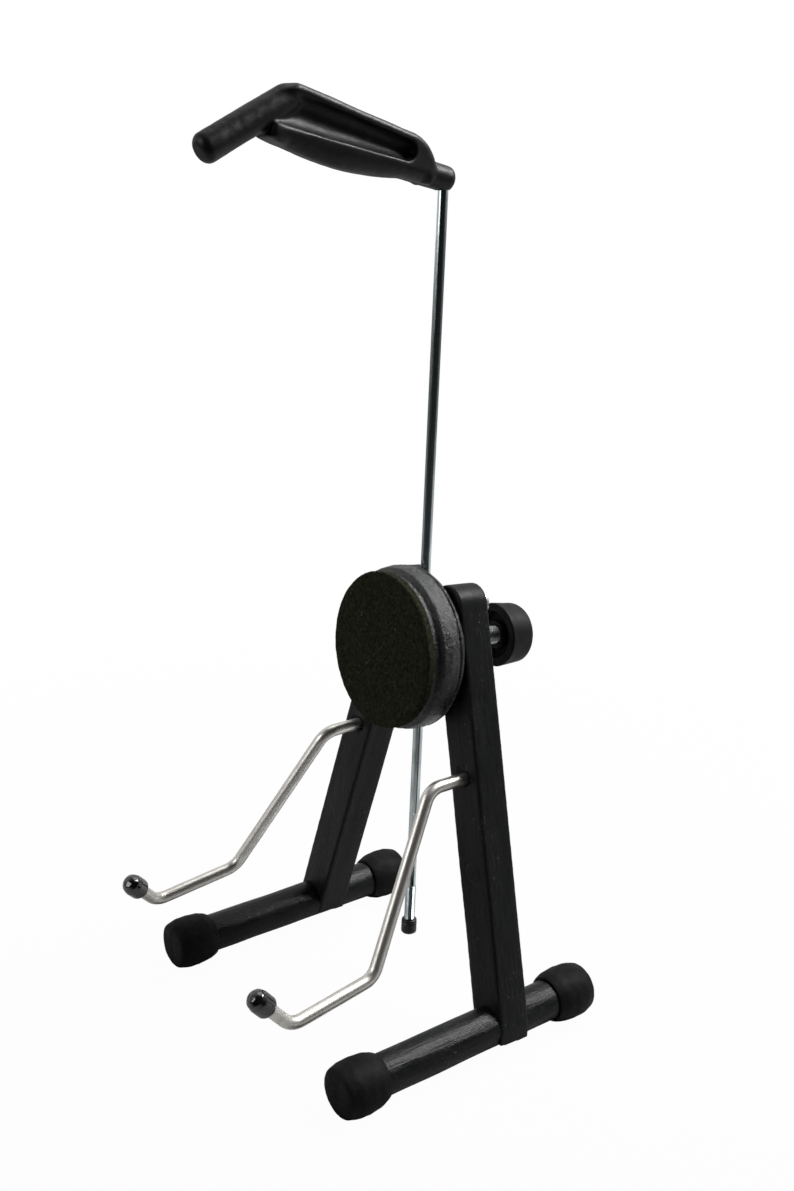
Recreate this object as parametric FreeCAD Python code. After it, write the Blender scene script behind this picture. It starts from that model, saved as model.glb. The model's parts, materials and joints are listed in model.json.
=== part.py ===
import FreeCAD, Part
import math
import os
from FreeCAD import Placement, Rotation, Vector

# A-frame stand for a miniature guitar, in millimetres.
# The origin is the floor point under the middle of the stand's outer box.
# +Z is up, -Y is the front, where the guitar stands, and +X is to the right of someone
# who looks at the front.
# Two legs and a round hub lean back together; this leaning plane is the "frame plane".
# In it, s runs backwards, square to the plane, and t runs up the lean from the foot axis.

# ---- driving dimensions ------------------------------------------------------------
STAND_Y = 10.75          # middle of the legs' lower ends, behind the origin
LEAN = 5.0               # lean of the frame plane, degrees
MAST_LEAN = 2.65         # lean of the mast, degrees

FOOT_X = 31.6            # middle of each foot, sideways
FOOT_FRONT = -39.3       # front of the rubber cap, from STAND_Y
FOOT_BACK = 21.4         # back of the rubber cap, from STAND_Y
FOOT_R = 4.0
CAP_R = 5.45             # rubber cap, at the middle of its bulge
CAP_END_R = 4.8          # rubber cap, at its mouth
CAP_LENGTH = 9.3
CAP_WALL = 1.6           # thickness of the closed end
CAP_EDGE = 1.1           # rounding of the closed end

LEG_WIDTH = 8.5
LEG_DEPTH = 7.1
LEG_EDGE = 0.45          # rounding of the leg's long edges
LEG_END_T = -2.6         # the leg's lower end, from the foot axis
LEG_FLUSH = 0.3          # how far the leg's lower end stands out beside the foot dowel
FOOT_SCREW_DEPTH = 3.1   # the foot screw's head, below the foot axis
FOOT_SCREW_MOUTH_R = 2.15
PIVOT_X = 8.6
PIVOT_T = 79.2
PIVOT_BORE_R = 1.6
PIVOT_SCREW_R = 1.5
PIVOT_SCREW_BITE = 4.5   # the pivot screw's depth in the disc
PIVOT_HEAD_R = 2.7
PIVOT_HEAD_HEIGHT = 1.5
WASHER_R = 3.1
WASHER_THICKNESS = 0.5
WASHER_GAP = 0.1         # play between the leg and its washer
SCREW_SLOT = 0.6

HUB_T = 69.1             # clamp axis, up the lean
DISC_R = 16.5
DISC_COVE_R = 15.0       # bottom of the groove between the disc and the pad
DISC_FRONT_S = -11.1
DISC_BACK_S = -4.05
PAD_R = 15.7
PAD_THICKNESS = 1.9

BLOCK_WIDTH = 8.0
BLOCK_HEIGHT = 18.0
BLOCK_BACK_S = 9.0
BLOCK_SCREW_X = 2.5      # the block's screws stand beside the mast
BLOCK_SCREW_INSET = 2.6  # from the block's upper and lower ends
INSERT_R = 2.9
INSERT_DEPTH = 6.0
INSERT_FLANGE_R = 3.8
INSERT_FLANGE = 0.8

MAST_R = 1.0
MAST_BOTTOM_Z = 10.0     # underside of the end cap
MAST_Y_AT_BOTTOM = 1.0   # mast's lower end, from STAND_Y
MAST_TOP = 156.2         # rod's upper end, along the mast from the end cap's underside
THREAD_R = 1.15
THREAD_PITCH = 0.4535
THREAD_TURNS = 22
END_CAP_R = 1.65
END_CAP_LENGTH = 3.2
END_CAP_FLOOR = 1.2

SCREW_R = 2.0            # M4 clamp screw
SCREW_FIT = 0.05
SCREW_TIP_S = -0.55
KNOB_FRONT_S = 16.9
KNOB_LENGTH = 6.6
KNOB_FRONT_R = 6.8
KNOB_REAR_R = 6.25
KNOB_ROUNDING = 1.3
KNOB_RECESS_R = 4.9
KNOB_RECESS = 1.6
KNOB_BOSS_R = 3.0
KNOB_GRIP = 4.0          # the screw's length inside the knob

PRONG_R = 1.2
PRONG_FIT = 0.05
PRONG_Z = 52.2           # height of the hole in the leg
PRONG_BEND_R = 4.0
PRONG_TURN = {"right": -9.0, "left": 4.0}  # each prong's swing, outwards from its leg's line
TIP_R = 2.2
TIP_LENGTH = 5.2
TIP_FLOOR = 1.0

HOOK_HALF_WIDTH = 3.2
HOOK_ROUNDING = 1.2
SCOOP_FRONT_R = 3.3      # tapered hollow in each side of the arm, open towards the finger
SCOOP_BACK_R = 1.9
SCOOP_DEPTH = 2.2
FINGER_R = 2.65
BOSS_R = 2.45
MAST_FIT = 0.05

# ---- frames ------------------------------------------------------------------------
X_AXIS = Vector(1, 0, 0)
Y_AXIS = Vector(0, 1, 0)
Z_AXIS = Vector(0, 0, 1)
SPLAY = math.degrees(math.atan2(FOOT_X - PIVOT_X, PIVOT_T))
FRAME_PLANE = Placement(Vector(0, STAND_Y, CAP_R), Rotation(X_AXIS, -LEAN))
MAST_PLACE = Placement(
    Vector(0, STAND_Y + MAST_Y_AT_BOTTOM, MAST_BOTTOM_Z), Rotation(X_AXIS, -MAST_LEAN)
)
SIDES = {"right": 1, "left": -1}


def placed(shape, placement):
    """The shape, moved from a local frame into the stand's frame."""
    moved = shape.copy()
    moved.Placement = placement.multiply(shape.Placement)
    return moved


def rod(radius, start, end):
    """A plain cylinder from one point to another."""
    axis = end - start
    return Part.makeCylinder(radius, axis.Length, start, axis)


def turned(profile):
    """A solid turned about Z from (radius, height) points, closed along the axis."""
    outline = Part.makePolygon([Vector(r, 0, z) for r, z in profile + [profile[0]]])
    return Part.Face(outline).revolve(Vector(0, 0, 0), Z_AXIS, 360)


def turned_to_back(profile, centre):
    """A turned solid whose axis runs along s, from (radius, s) points."""
    solid = turned(profile)
    solid.rotate(Vector(0, 0, 0), X_AXIS, -90)
    solid.translate(centre)
    return solid


def round_edges(shape, radius, wanted):
    """The shape with every edge that wanted(edge) picks rounded."""
    edges = [edge for edge in shape.Edges if wanted(edge)]
    return shape.makeFillet(radius, edges)


def bent_wire(points, wire_radius, bend_radius):
    """Round wire along straight runs joined by tangent arcs."""
    edges = []
    start = points[0]
    for before, corner, after in zip(points, points[1:], points[2:]):
        towards = (before - corner).normalize()
        away = (after - corner).normalize()
        half_turn = (math.pi - towards.getAngle(away)) / 2
        setback = bend_radius * math.tan(half_turn)
        bisector = (towards + away).normalize()
        middle = corner + bisector * (bend_radius / math.cos(half_turn) - bend_radius)
        enter = corner + towards * setback
        leave = corner + away * setback
        edges.append(Part.LineSegment(start, enter).toShape())
        edges.append(Part.Arc(enter, middle, leave).toShape())
        start = leave
    edges.append(Part.LineSegment(start, points[-1]).toShape())
    section = Part.Wire([Part.makeCircle(wire_radius, points[0], points[1] - points[0])])
    return Part.Wire(edges).makePipeShell([section], True, False)


def pan_screw(radius, length, head_radius, head_height, slot):
    """A slotted screw along Z, its head above z = 0 and its point down."""
    tip = 1.5 * radius
    profile = [
        (0, -length),
        (radius, tip - length),
        (radius, 0),
        (head_radius, 0),
        (head_radius, head_height * 0.5),
        (head_radius * 0.75, head_height),
        (0, head_height),
    ]
    cutter = Part.makeBox(2 * head_radius, slot, head_height)
    cutter.translate(Vector(-head_radius, -slot / 2, head_height * 0.55))
    return turned(profile).cut(cutter)


# ---- hub ---------------------------------------------------------------------------
def hub_centre(s):
    return Vector(0, s, HUB_T)


def disc_holes():
    """Wood-screw holes in the disc: one for each leg, and two for the mast block."""
    tools = []
    for side in SIDES.values():
        end = Vector(side * PIVOT_X, DISC_BACK_S - PIVOT_SCREW_BITE - 0.1, PIVOT_T)
        tools.append(rod(PIVOT_SCREW_R, Vector(end.x, 0, end.z), end))
    for place in block_screw_places():
        tools.append(placed(block_screw(), place))
    return tools


def hub_disc():
    profile = [
        (0, DISC_FRONT_S),
        (DISC_COVE_R, DISC_FRONT_S),
        (DISC_COVE_R + 0.1, DISC_FRONT_S + 1.2),
        (DISC_R - 0.5, DISC_FRONT_S + 2.2),
        (DISC_R, DISC_FRONT_S + 3.2),
        (DISC_R, DISC_BACK_S - 1.5),
        (DISC_R - 0.4, DISC_BACK_S - 1.2),
        (DISC_R - 0.1, DISC_BACK_S - 0.9),
        (DISC_R - 0.6, DISC_BACK_S),
        (0, DISC_BACK_S),
    ]
    disc = turned_to_back(profile, Vector(0, 0, HUB_T))
    return placed(disc.cut(disc_holes()), FRAME_PLANE)


def back_pad():
    pad = rod(PAD_R, hub_centre(DISC_FRONT_S - PAD_THICKNESS), hub_centre(DISC_FRONT_S))
    pad = round_edges(pad, 0.5, lambda edge: edge.CenterOfMass.y < DISC_FRONT_S - 1)
    return placed(pad, FRAME_PLANE)


def block_screw():
    """Countersunk screw along Z, its flat head at z = 0."""
    profile = [(0, -11), (0.9, -9.6), (0.9, -1.4), (2.2, -0.1), (2.2, 0), (0, 0)]
    slot = Part.makeBox(4.4, 0.6, 0.6)
    slot.translate(Vector(-2.2, -0.3, -0.6))
    return turned(profile).cut(slot)


def block_screw_places():
    """One screw above and one below the clamp axis, driven backwards from the disc's face."""
    spacing = BLOCK_HEIGHT / 2 - BLOCK_SCREW_INSET
    turn = Rotation(X_AXIS, 90)
    for rise in (spacing, -spacing):
        yield Placement(Vector(BLOCK_SCREW_X, DISC_FRONT_S, HUB_T + rise), turn)


def block_screws():
    screws = [placed(placed(block_screw(), place), FRAME_PLANE) for place in block_screw_places()]
    return Part.makeCompound(screws)


def threaded_insert():
    """Flanged bush in the block's back; the clamp screw's thread is left plain."""
    bore = SCREW_R + SCREW_FIT
    profile = [
        (bore, BLOCK_BACK_S - INSERT_DEPTH),
        (INSERT_R, BLOCK_BACK_S - INSERT_DEPTH),
        (INSERT_R, BLOCK_BACK_S),
        (INSERT_FLANGE_R, BLOCK_BACK_S),
        (INSERT_FLANGE_R, BLOCK_BACK_S + INSERT_FLANGE),
        (bore, BLOCK_BACK_S + INSERT_FLANGE),
    ]
    return placed(turned_to_back(profile, Vector(0, 0, HUB_T)), FRAME_PLANE)


def mast_block():
    """Wooden block behind the disc, between the legs, that carries the mast and the clamp."""
    depth = BLOCK_BACK_S - DISC_BACK_S
    block = Part.makeBox(BLOCK_WIDTH, depth, BLOCK_HEIGHT)
    block.translate(Vector(-BLOCK_WIDTH / 2, DISC_BACK_S, HUB_T - BLOCK_HEIGHT / 2))
    block = round_edges(block, 0.8, lambda edge: edge.BoundBox.YMin > BLOCK_BACK_S - 0.01)
    tools = [
        rod(SCREW_R + SCREW_FIT, hub_centre(-2), hub_centre(BLOCK_BACK_S)),
        rod(INSERT_R, hub_centre(BLOCK_BACK_S - INSERT_DEPTH), hub_centre(BLOCK_BACK_S + 1)),
    ]
    tools += [placed(block_screw(), place) for place in block_screw_places()]
    block = placed(block.cut(tools), FRAME_PLANE)
    bore = rod(MAST_R + MAST_FIT, Vector(0, 0, 40), Vector(0, 0, 100))
    return block.cut(placed(bore, MAST_PLACE))


def pivot_hardware():
    """The two leg pivot screws with a plain washer under each head."""
    screws = []
    washers = []
    washer_s = LEG_DEPTH / 2 + WASHER_GAP
    head_s = washer_s + WASHER_THICKNESS
    length = head_s - DISC_BACK_S + PIVOT_SCREW_BITE
    for side in SIDES.values():
        front = Vector(side * PIVOT_X, washer_s, PIVOT_T)
        back = Vector(side * PIVOT_X, head_s, PIVOT_T)
        washer = rod(WASHER_R, front, back).cut(rod(PIVOT_SCREW_R, front, back))
        washers.append(placed(washer, FRAME_PLANE))
        screw = pan_screw(PIVOT_SCREW_R, length, PIVOT_HEAD_R, PIVOT_HEAD_HEIGHT, SCREW_SLOT)
        screw = placed(screw, Placement(back, Rotation(X_AXIS, -90)))
        screws.append(placed(screw, FRAME_PLANE))
    return Part.makeCompound(screws), Part.makeCompound(washers)


# ---- clamp -------------------------------------------------------------------------
def clamp_screw():
    """M4 screw that presses on the mast; its rear end is moulded into the knob."""
    screw = rod(SCREW_R, hub_centre(SCREW_TIP_S), hub_centre(KNOB_FRONT_S + KNOB_GRIP))
    tip_edges = [edge for edge in screw.Edges if edge.CenterOfMass.y < SCREW_TIP_S + 0.1]
    return placed(screw.makeChamfer(0.4, tip_edges), FRAME_PLANE)


def clamp_knob():
    rear = KNOB_FRONT_S + KNOB_LENGTH
    profile = [
        (0, KNOB_FRONT_S),
        (KNOB_FRONT_R - 0.2, KNOB_FRONT_S),
        (KNOB_FRONT_R, KNOB_FRONT_S + 0.2),
        (KNOB_REAR_R, rear),
        (0, rear),
    ]
    knob = turned_to_back(profile, Vector(0, 0, HUB_T))

    def is_rear_rim(edge):
        return edge.CenterOfMass.y > rear - 0.1 and edge.Length > KNOB_REAR_R

    knob = round_edges(knob, KNOB_ROUNDING, is_rear_rim)
    front = hub_centre(KNOB_FRONT_S)
    floor = hub_centre(KNOB_FRONT_S + KNOB_RECESS)
    recess = rod(KNOB_RECESS_R, front, floor)
    boss = rod(KNOB_BOSS_R, hub_centre(KNOB_FRONT_S + 0.4), floor)
    screw = rod(SCREW_R, front, hub_centre(KNOB_FRONT_S + KNOB_GRIP))
    return placed(knob.cut(recess).fuse(boss).cut(screw), FRAME_PLANE)


# ---- legs and feet -----------------------------------------------------------------
def foot_line(side, y):
    """Point on a foot's axis, y behind the legs' lower ends."""
    return Vector(side * FOOT_X, STAND_Y + y, CAP_R)


def prong_hole(side):
    """Where the prong's axis meets the middle of the leg."""
    rise = PRONG_Z - CAP_R
    x = FOOT_X - rise / math.cos(math.radians(LEAN)) * math.tan(math.radians(SPLAY))
    return Vector(side * x, STAND_Y + rise * math.tan(math.radians(LEAN)), PRONG_Z)


def leg(side):
    """Square bar with a round pivot end; the foot dowel passes through its lower end."""
    length = math.hypot(FOOT_X - PIVOT_X, PIVOT_T) + LEG_WIDTH
    bar = Part.makeBox(LEG_WIDTH, LEG_DEPTH, length)
    bar.translate(Vector(-LEG_WIDTH / 2, -LEG_DEPTH / 2, -length))
    half_depth = Y_AXIS * (LEG_DEPTH / 2)
    bar = bar.fuse(rod(LEG_WIDTH / 2, half_depth * -1, half_depth)).removeSplitter()
    bar = round_edges(bar, LEG_EDGE, lambda edge: abs(edge.BoundBox.ZLength - length) < 0.1)
    bar.rotate(Vector(0, 0, 0), Y_AXIS, -side * SPLAY)
    bar.translate(Vector(side * PIVOT_X, 0, PIVOT_T))
    bore_start = Vector(side * PIVOT_X, -LEG_DEPTH, PIVOT_T)
    bore = rod(PIVOT_BORE_R, bore_start, bore_start + Y_AXIS * 20)
    below = Part.makeBox(60, 40, 20, Vector(-30 + side * FOOT_X, -20, LEG_END_T - 20))
    flush_x = FOOT_X + FOOT_R + LEG_FLUSH
    outside = Part.makeBox(20, 40, 40, Vector(flush_x if side > 0 else -flush_x - 20, -20, -20))
    bar = bar.cut([bore, below, outside])
    hole = prong_hole(side)
    tools = [
        rod(FOOT_R, foot_line(side, -20), foot_line(side, 20)),
        rod(PRONG_R + PRONG_FIT, hole - Y_AXIS * 10, hole + Y_AXIS * 2.4),
        foot_screw(side),
        foot_screw_mouth(side),
    ]
    return placed(bar, FRAME_PLANE).cut(tools)


def foot_screw(side):
    """Screw from the underside of the foot dowel up into the leg."""
    profile = [(0, 0), (1.9, 0), (1.9, 0.3), (1.1, 1.3), (1.1, 13.9), (0, 15.3)]
    screw = turned(profile)
    screw.translate(Vector(0, 0, -FOOT_SCREW_DEPTH))
    screw.rotate(Vector(0, 0, 0), Y_AXIS, -side * SPLAY)
    screw.rotate(Vector(0, 0, 0), X_AXIS, -LEAN)
    screw.translate(foot_line(side, 0))
    return screw


def foot_screw_mouth(side):
    """Clearance below the foot screw's head."""
    splay = math.radians(SPLAY)
    along_leg = Vector(side * math.sin(splay), 0, -math.cos(splay))
    down = Rotation(X_AXIS, -LEAN).multVec(along_leg)
    middle = foot_line(side, 0)
    return rod(FOOT_SCREW_MOUTH_R, middle + down * FOOT_SCREW_DEPTH, middle + down * (FOOT_R + 2))


def foot_dowel(side):
    dowel = rod(FOOT_R, foot_line(side, FOOT_FRONT + CAP_WALL), foot_line(side, FOOT_BACK - CAP_WALL))
    return dowel.cut([foot_screw(side), foot_screw_mouth(side)])


def foot_cap(side, end, direction):
    """Rubber cup on a dowel's end; it opens along direction and its wall bulges."""
    profile = [
        (0, 0),
        (CAP_END_R - CAP_EDGE, 0),
        (CAP_END_R, CAP_EDGE),
        (CAP_R, CAP_LENGTH * 0.42),
        (CAP_R, CAP_LENGTH * 0.62),
        (CAP_END_R, CAP_LENGTH - 0.5),
        (CAP_END_R - 0.3, CAP_LENGTH),
        (FOOT_R, CAP_LENGTH),
        (FOOT_R, CAP_WALL),
        (0, CAP_WALL),
    ]
    cap = turned(profile)
    cap.rotate(Vector(0, 0, 0), X_AXIS, -90 * direction)
    cap.translate(foot_line(side, end))
    return cap


# ---- prongs ------------------------------------------------------------------------
def prong_points(name):
    """Corners of the prong: out of the leg, down and forward, along the seat, up to the tip."""
    side = SIDES[name]
    turn = math.radians(SPLAY + PRONG_TURN[name])
    down = Vector(side * math.sin(turn), 0, -math.cos(turn))
    hole = prong_hole(side)
    reach_and_drop = ((-2.2, 0), (11.9, 0), (28.4, 33.2), (47.1, 36.0), (54.1, 28.0))
    return [hole - Y_AXIS * reach + down * drop for reach, drop in reach_and_drop]


def prong_tip(name):
    """Domed vinyl cap on the wire's end."""
    points = prong_points(name)
    along = (points[-1] - points[-2]).normalize()
    profile = [
        (0, TIP_LENGTH),
        (TIP_R * 0.55, TIP_LENGTH - 0.35),
        (TIP_R * 0.88, TIP_LENGTH - 1.1),
        (TIP_R, TIP_LENGTH - 2.2),
        (TIP_R, 0.7),
        (TIP_R - 0.35, 0),
        (PRONG_R, 0),
        (PRONG_R, TIP_LENGTH - TIP_FLOOR),
        (0, TIP_LENGTH - TIP_FLOOR),
    ]
    place = Placement(points[-1] - along * (TIP_LENGTH - TIP_FLOOR), Rotation(Z_AXIS, along))
    return placed(turned(profile), place)


# ---- mast and hook -----------------------------------------------------------------
def mast_rod():
    """Plated rod whose lower end carries a rolled thread."""
    root = THREAD_R - 0.25
    profile = [(0, END_CAP_FLOOR), (root, END_CAP_FLOOR)]
    for turn in range(THREAD_TURNS):
        z = END_CAP_FLOOR + turn * THREAD_PITCH
        profile.append((THREAD_R, z + THREAD_PITCH / 2))
        profile.append((root, z + THREAD_PITCH))
    thread_top = END_CAP_FLOOR + THREAD_TURNS * THREAD_PITCH
    profile += [(MAST_R, thread_top + 0.2), (MAST_R, MAST_TOP), (0, MAST_TOP)]
    return placed(turned(profile), MAST_PLACE)


def mast_end_cap():
    profile = [
        (0, 0),
        (END_CAP_R - 0.4, 0),
        (END_CAP_R, 0.4),
        (END_CAP_R, END_CAP_LENGTH),
        (THREAD_R, END_CAP_LENGTH),
        (THREAD_R, END_CAP_FLOOR),
        (0, END_CAP_FLOOR),
    ]
    return placed(turned(profile), MAST_PLACE)


def arm_scoop(side, front, back):
    """Cone with a ball end that hollows one side of the arm."""
    front_axis = front + X_AXIS * side * (HOOK_HALF_WIDTH + SCOOP_FRONT_R - SCOOP_DEPTH)
    back_axis = back + X_AXIS * side * (HOOK_HALF_WIDTH + SCOOP_BACK_R - SCOOP_DEPTH)
    run = back_axis - front_axis
    cone = Part.makeCone(SCOOP_FRONT_R, SCOOP_BACK_R, run.Length, front_axis, run)
    return cone.fuse(Part.makeSphere(SCOOP_BACK_R, back_axis))


def neck_hook():
    """One-piece hook: a boss over the mast, a deep scooped arm, and a finger in front."""
    def at(y, z):
        return Vector(0, STAND_Y + y, z)

    elbow = at(-26.3, 177.4)
    finger_end = at(-43.2, 168.6)
    shoulder = at(3.2, 169.9)
    outline = [
        Part.LineSegment(at(-25.2, 180.1), at(-1.5, 172.9)).toShape(),
        Part.Arc(at(-1.5, 172.9), shoulder, at(4.6, 165.9)).toShape(),
        Part.LineSegment(at(4.6, 165.9), at(3.4, 163.6)).toShape(),
        Part.LineSegment(at(3.4, 163.6), at(-2.0, 164.8)).toShape(),
        Part.Arc(at(-2.0, 164.8), at(-17.0, 166.5), at(-31.0, 171.3)).toShape(),
        Part.LineSegment(at(-31.0, 171.3), at(-28.4, 178.6)).toShape(),
        Part.LineSegment(at(-28.4, 178.6), at(-25.2, 180.1)).toShape(),
    ]
    arm = Part.Face(Part.Wire(outline)).extrude(X_AXIS * 2 * HOOK_HALF_WIDTH)
    arm.translate(X_AXIS * -HOOK_HALF_WIDTH)
    arm = round_edges(arm, HOOK_ROUNDING, lambda edge: edge.BoundBox.XLength < 0.01)
    for side in SIDES.values():
        arm = arm.cut(arm_scoop(side, at(-29.5, 176.4), at(-2.4, 169.6)))
    finger = rod(FINGER_R, elbow, finger_end)
    finger = round_edges(finger, 1.6, lambda edge: edge.CenterOfMass.y < STAND_Y - 43)
    boss = rod(BOSS_R, at(-2.0, 167.2), at(9.7, 164.4))
    boss = round_edges(boss, 1.4, lambda edge: edge.CenterOfMass.y > STAND_Y + 9.5)
    hook = arm.fuse([finger, Part.makeSphere(FINGER_R, elbow), boss])
    bore = rod(MAST_R + MAST_FIT, Vector(0, 0, 140), Vector(0, 0, MAST_TOP + 0.3))
    return hook.cut(placed(bore, MAST_PLACE))


# ---- the assembly ------------------------------------------------------------------
def all_parts():
    pivot_screws, pivot_washers = pivot_hardware()
    parts = {
        "hub_disc": hub_disc(),
        "back_pad": back_pad(),
        "mast_block": mast_block(),
        "block_screws": block_screws(),
        "threaded_insert": threaded_insert(),
        "leg_pivot_screws": pivot_screws,
        "leg_pivot_washers": pivot_washers,
        "clamp_screw": clamp_screw(),
        "clamp_knob": clamp_knob(),
        "mast_rod": mast_rod(),
        "mast_end_cap": mast_end_cap(),
        "neck_hook": neck_hook(),
    }
    for name, side in SIDES.items():
        parts[f"{name}_leg"] = leg(side)
        parts[f"{name}_foot_dowel"] = foot_dowel(side)
        parts[f"{name}_foot_screw"] = foot_screw(side)
        parts[f"{name}_front_foot_cap"] = foot_cap(side, FOOT_FRONT, 1)
        parts[f"{name}_rear_foot_cap"] = foot_cap(side, FOOT_BACK, -1)
        parts[f"{name}_prong"] = bent_wire(prong_points(name), PRONG_R, PRONG_BEND_R)
        parts[f"{name}_prong_tip"] = prong_tip(name)
    return parts


os.makedirs("parts", exist_ok=True)
for node, shape in all_parts().items():
    shape.exportStep(f"parts/{node}.step")
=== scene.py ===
"""Looks for a small A-frame stand for miniature guitars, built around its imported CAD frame.

The frame, the camera, the lights and the floor are in metres. Outlines, noise layers and the other
lengths given to the helpers are in millimetres, and MM turns them into metres.
"""

import json
import math

import bmesh
import bpy
import numpy as np
from mathutils import Matrix, Vector, noise


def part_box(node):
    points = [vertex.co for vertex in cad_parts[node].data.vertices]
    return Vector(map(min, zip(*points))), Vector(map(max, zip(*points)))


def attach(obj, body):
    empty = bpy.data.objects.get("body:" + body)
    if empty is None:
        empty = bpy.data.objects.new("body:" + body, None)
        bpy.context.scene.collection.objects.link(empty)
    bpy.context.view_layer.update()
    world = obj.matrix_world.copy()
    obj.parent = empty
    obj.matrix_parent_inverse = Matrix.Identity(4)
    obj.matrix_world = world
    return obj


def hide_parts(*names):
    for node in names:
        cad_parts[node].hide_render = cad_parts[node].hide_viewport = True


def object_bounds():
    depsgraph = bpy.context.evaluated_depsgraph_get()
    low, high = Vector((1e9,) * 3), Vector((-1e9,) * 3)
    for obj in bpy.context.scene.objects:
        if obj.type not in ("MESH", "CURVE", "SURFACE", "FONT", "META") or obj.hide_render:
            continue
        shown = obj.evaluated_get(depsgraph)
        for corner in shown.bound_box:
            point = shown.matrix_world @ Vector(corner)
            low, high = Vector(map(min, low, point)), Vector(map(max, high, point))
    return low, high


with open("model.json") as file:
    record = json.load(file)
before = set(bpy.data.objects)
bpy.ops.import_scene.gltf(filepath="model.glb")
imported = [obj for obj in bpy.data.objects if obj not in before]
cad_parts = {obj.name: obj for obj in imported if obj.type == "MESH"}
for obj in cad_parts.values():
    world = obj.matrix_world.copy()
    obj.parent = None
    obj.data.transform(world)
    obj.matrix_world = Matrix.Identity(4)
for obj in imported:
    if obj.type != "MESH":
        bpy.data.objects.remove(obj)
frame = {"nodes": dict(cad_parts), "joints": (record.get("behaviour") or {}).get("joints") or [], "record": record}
CAD_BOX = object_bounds()
RECORD = frame["record"]
JOINTS = {joint["name"]: joint for joint in frame["joints"]}
BODY_OF = {node: body for body, nodes in RECORD["behaviour"]["bodies"].items() for node in nodes}
SLOT_OF = {part["node"]: part["material_slot"] for part in RECORD["subparts"]}
SIDES = ("right", "left")
MM = 0.001
X_AXIS = Vector((1, 0, 0))
Y_AXIS = Vector((0, 1, 0))
Z_AXIS = Vector((0, 0, 1))

ARM_FRONT = 15.0         # hook's arm, behind the tip of its finger
ARM_LENGTH = 33.0
LEDGE_DROP = 7.4         # ledge in the arm's side, below the hook's top
LEDGE_SLOPE = 0.2075
HULL_NARROWING = 0.85    # share of the arm's width, squared, lost at the bottom of its hull
ELBOW_SOFTENED = 8.0     # reach of the smoothing about the hook's elbow
PLUG_DROP = 19.0         # plugged hole, down the leg from the prong's hole
PLUG_RADIUS = 2.3
WIRE_THINNING = 0.09     # what smoothing takes off the prongs' radius
ROLLED_THREAD = 10.0     # length of the mast's thread
ROLLED_PITCH = 0.4535
SCREW_PITCH = 0.7

CAMERA_PLACE = Vector((0.20763, -0.14707, 0.16271))
CAMERA_AZIMUTH = math.radians(53.18)
CAMERA_PITCH = math.radians(16.5)
CAMERA_ROLL = math.radians(0.17)
CAMERA_LENS_MM = 41.35
CAMERA_SENSOR_MM = 36
BEHIND = -Vector((math.sin(CAMERA_AZIMUTH) * math.cos(CAMERA_PITCH),
                  -math.cos(CAMERA_AZIMUTH) * math.cos(CAMERA_PITCH),
                  math.sin(CAMERA_PITCH)))

HUB_AXIS = Vector(JOINTS["clamp_knob_turn"]["axis"]).normalized()
HUB_CENTRE = Vector(JOINTS["clamp_knob_turn"]["pos_m"])
MAST_AXIS = Vector(JOINTS["hook_swivel"]["axis"]).normalized()
MAST_BASE = Vector(JOINTS["hook_swivel"]["pos_m"])

MIX_UNDER, MIX_OVER, MIX_RESULT = 6, 7, 2     # colour sockets of a Mix node, whose names repeat
FLOOR_RADIUS = 6


# ---- measuring the frame -----------------------------------------------------------
def points_of(node):
    vertices = frame["nodes"][node].data.vertices
    flat = np.empty(len(vertices) * 3)
    vertices.foreach_get("co", flat)
    return flat.reshape(-1, 3)


def span(node, origin, axis):
    """Lowest and highest reach of a node along an axis, and its widest radius about it."""
    relative = points_of(node) - np.array(origin)
    along = relative @ np.array(axis)
    off_axis = np.linalg.norm(relative - np.outer(along, axis), axis=1)
    return along.min(), along.max(), off_axis.max()


def centre_of(node):
    low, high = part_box(node)
    return (low + high) / 2


def leg_axis(side):
    """Unit vector up the leg, from its foot to its pivot."""
    foot = centre_of(f"{side}_foot_dowel")
    pivot = Vector(JOINTS[f"{side}_leg_fold"]["pos_m"])
    foot.y = pivot.y - (pivot.z - foot.z) * HUB_AXIS.z / -HUB_AXIS.y
    return (pivot - foot).normalized()


# ---- meshes ------------------------------------------------------------------------
def new_piece(name, vertices, faces):
    mesh = bpy.data.meshes.new(name)
    mesh.from_pydata([tuple(v) for v in vertices], [], faces)
    mesh.update()
    mesh.shade_smooth()
    piece = bpy.data.objects.new(name, mesh)
    bpy.context.scene.collection.objects.link(piece)
    return piece


def freed_copy(node, name):
    """A copy of a CAD node's mesh, welded, which this script may reshape."""
    piece = bpy.data.objects.new(name, frame["nodes"][node].data.copy())
    bpy.context.scene.collection.objects.link(piece)
    work = bmesh.new()
    work.from_mesh(piece.data)
    bmesh.ops.remove_doubles(work, verts=work.verts, dist=1e-6)
    work.to_mesh(piece.data)
    work.free()
    return piece


def apply_modifiers(piece):
    bpy.context.view_layer.update()
    graph = bpy.context.evaluated_depsgraph_get()
    mesh = bpy.data.meshes.new_from_object(piece.evaluated_get(graph))
    piece.modifiers.clear()
    piece.data = mesh
    mesh.shade_smooth()
    return piece


def remeshed(piece, voxel, softening):
    """The piece as an even mesh of small quads, with its sharp edges eased."""
    remesh = piece.modifiers.new("remesh", "REMESH")
    remesh.mode = "VOXEL"
    remesh.voxel_size = voxel * MM
    smooth = piece.modifiers.new("soften", "SMOOTH")
    smooth.factor = 0.5
    smooth.iterations = softening
    return apply_modifiers(piece)


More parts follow.
